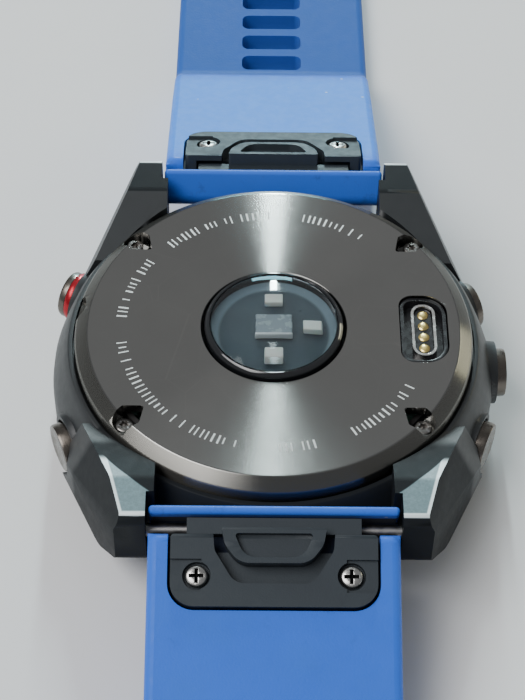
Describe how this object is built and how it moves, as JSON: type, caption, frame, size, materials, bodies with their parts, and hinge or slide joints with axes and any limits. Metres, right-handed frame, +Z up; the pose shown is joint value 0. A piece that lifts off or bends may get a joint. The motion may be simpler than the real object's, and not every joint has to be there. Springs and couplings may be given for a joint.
{
  "type": "golf gps watch",
  "caption": "Round GPS golf watch lying face down: side push buttons, optical sensor, charging port, and a quick-release silicone strap with buckle and keepers.",
  "frame": {"origin": "centre of the crystal, on the plane that the bezel rests on", "axes": "+Z up through the back of the watch; +Y towards the long strap half (twelve o'clock); +X towards the light, up and down buttons"},
  "size_m": [0.0519, 0.2732, 0.0175],
  "materials": {
    "case_polymer": "fine-grained black fibre-filled polymer, rubbed shiny on the lugs",
    "bezel_steel": "brushed steel ring with dark coating",
    "crystal_glass": "clear flat crystal",
    "seal_rubber": "soft black seal",
    "display": "dark display panel",
    "circuit_board": "green board",
    "plated_parts": "bright plated can",
    "ceramic": "unglazed ceramic",
    "battery_foil": "foil pouch",
    "contact_gold": "gold plated",
    "cover_steel": "dark steel, turned with fine circular marks and light scratches",
    "dark_screw": "dark socket-head screw",
    "sensor_black": "gloss black",
    "sensor_glass": "smoked clear window",
    "lamp_lens": "milky white lamp lens",
    "photodiode_glass": "grey silvered chip window",
    "port_plastic": "black moulding",
    "bright_steel": "polished steel",
    "button_steel": "dark bronze-grey steel, edges worn bright",
    "start_red": "red anodised band",
    "strap_silicone": "satin blue silicone with light dust",
    "latch_plastic": "black moulded latch",
    "bright_screw": "bright cross-head screw"
  },
  "bodies": {
    "case": {"case_body": "case_polymer", "bezel": "bezel_steel", "crystal": "crystal_glass", "crystal_gasket": "seal_rubber", "chapter_ring": "case_polymer", "display_panel": "display", "inner_frame": "case_polymer", "main_board": "circuit_board", "shield_can": "plated_parts", "gps_antenna": "ceramic", "battery": "battery_foil", "vibration_motor": "plated_parts", "buzzer": "contact_gold", "rear_gasket": "seal_rubber", "rear_cover": "cover_steel", "rear_cover_screw_1": "dark_screw", "rear_cover_screw_2": "dark_screw", "rear_cover_screw_3": "dark_screw", "rear_cover_screw_4": "dark_screw", "sensor_ring": "sensor_black", "sensor_window": "sensor_glass", "sensor_board": "circuit_board", "sensor_led_top": "lamp_lens", "sensor_led_bottom": "lamp_lens", "sensor_led_side": "lamp_lens", "photodiode": "photodiode_glass", "charging_port": "port_plastic", "charging_collar": "bright_steel", "charging_contact_1": "contact_gold", "charging_contact_2": "contact_gold", "charging_contact_3": "contact_gold", "charging_contact_4": "contact_gold", "lug_bar_long": "bright_steel", "lug_bar_short": "bright_steel"},
    "button_light": {"button_light": "button_steel"},
    "button_up": {"button_up": "button_steel"},
    "button_down": {"button_down": "button_steel"},
    "button_start": {"button_start": "button_steel", "button_start_ring": "start_red"},
    "button_back": {"button_back": "button_steel"},
    "long_strap": {"long_strap": "strap_silicone", "long_latch_plate": "latch_plastic", "long_plate_screw_1": "bright_screw", "long_plate_screw_2": "bright_screw"},
    "long_latch": {"long_latch_slider": "latch_plastic"},
    "short_strap": {"short_strap": "strap_silicone", "short_latch_plate": "latch_plastic", "short_plate_screw_1": "bright_screw", "short_plate_screw_2": "bright_screw", "buckle_pin": "bright_steel", "fixed_keeper": "strap_silicone"},
    "short_latch": {"short_latch_slider": "latch_plastic"},
    "buckle": {"buckle_frame": "bright_steel"},
    "tongue": {"buckle_tongue": "bright_steel"},
    "sliding_keeper": {"sliding_keeper": "strap_silicone"}
  },
  "joints": [
    {"name": "button_light_press", "type": "slide", "parent": "case", "child": "button_light", "axis": [-0.9063, -0.4226, 0], "range_m": [0, 0.0007], "stiffness_N_per_m": 500, "springref_m": -0.0006},
    {"name": "button_up_press", "type": "slide", "parent": "case", "child": "button_up", "axis": [-0.9997, -0.0262, 0], "range_m": [0, 0.0007], "stiffness_N_per_m": 500, "springref_m": -0.0006},
    {"name": "button_down_press", "type": "slide", "parent": "case", "child": "button_down", "axis": [-0.9205, 0.3907, 0], "range_m": [0, 0.0007], "stiffness_N_per_m": 500, "springref_m": -0.0006},
    {"name": "button_start_press", "type": "slide", "parent": "case", "child": "button_start", "axis": [0.891, -0.454, 0], "range_m": [0, 0.0007], "stiffness_N_per_m": 500, "springref_m": -0.0006},
    {"name": "button_back_press", "type": "slide", "parent": "case", "child": "button_back", "axis": [0.91, 0.4147, 0], "range_m": [0, 0.0007], "stiffness_N_per_m": 500, "springref_m": -0.0006},
    {"name": "long_strap_hinge", "type": "hinge", "parent": "case", "child": "long_strap", "pos_m": [0, 0.0251, 0.0125], "axis": [1, 0, 0], "range_deg": [-12, 20]},
    {"name": "long_latch_slide", "type": "slide", "parent": "long_strap", "child": "long_latch", "axis": [0, 0.9336, -0.3584], "range_m": [0, 0.0015], "stiffness_N_per_m": 400, "springref_m": -0.001},
    {"name": "short_strap_hinge", "type": "hinge", "parent": "case", "child": "short_strap", "pos_m": [0, -0.0251, 0.0125], "axis": [-1, 0, 0], "range_deg": [-12, 20]},
    {"name": "short_latch_slide", "type": "slide", "parent": "short_strap", "child": "short_latch", "axis": [0, -0.9336, -0.3584], "range_m": [0, 0.0015], "stiffness_N_per_m": 400, "springref_m": -0.001},
    {"name": "buckle_hinge", "type": "hinge", "parent": "short_strap", "child": "buckle", "pos_m": [0, -0.108, 0.0033], "axis": [-1, 0, 0], "range_deg": [-30, 60]},
    {"name": "tongue_hinge", "type": "hinge", "parent": "buckle", "child": "tongue", "pos_m": [0, -0.108, 0.0033], "axis": [-1, 0, 0], "range_deg": [0, 60]},
    {"name": "keeper_slide", "type": "slide", "parent": "short_strap", "child": "sliding_keeper", "axis": [0, 1, 0], "range_m": [-0.006, 0.022]}
  ]
}
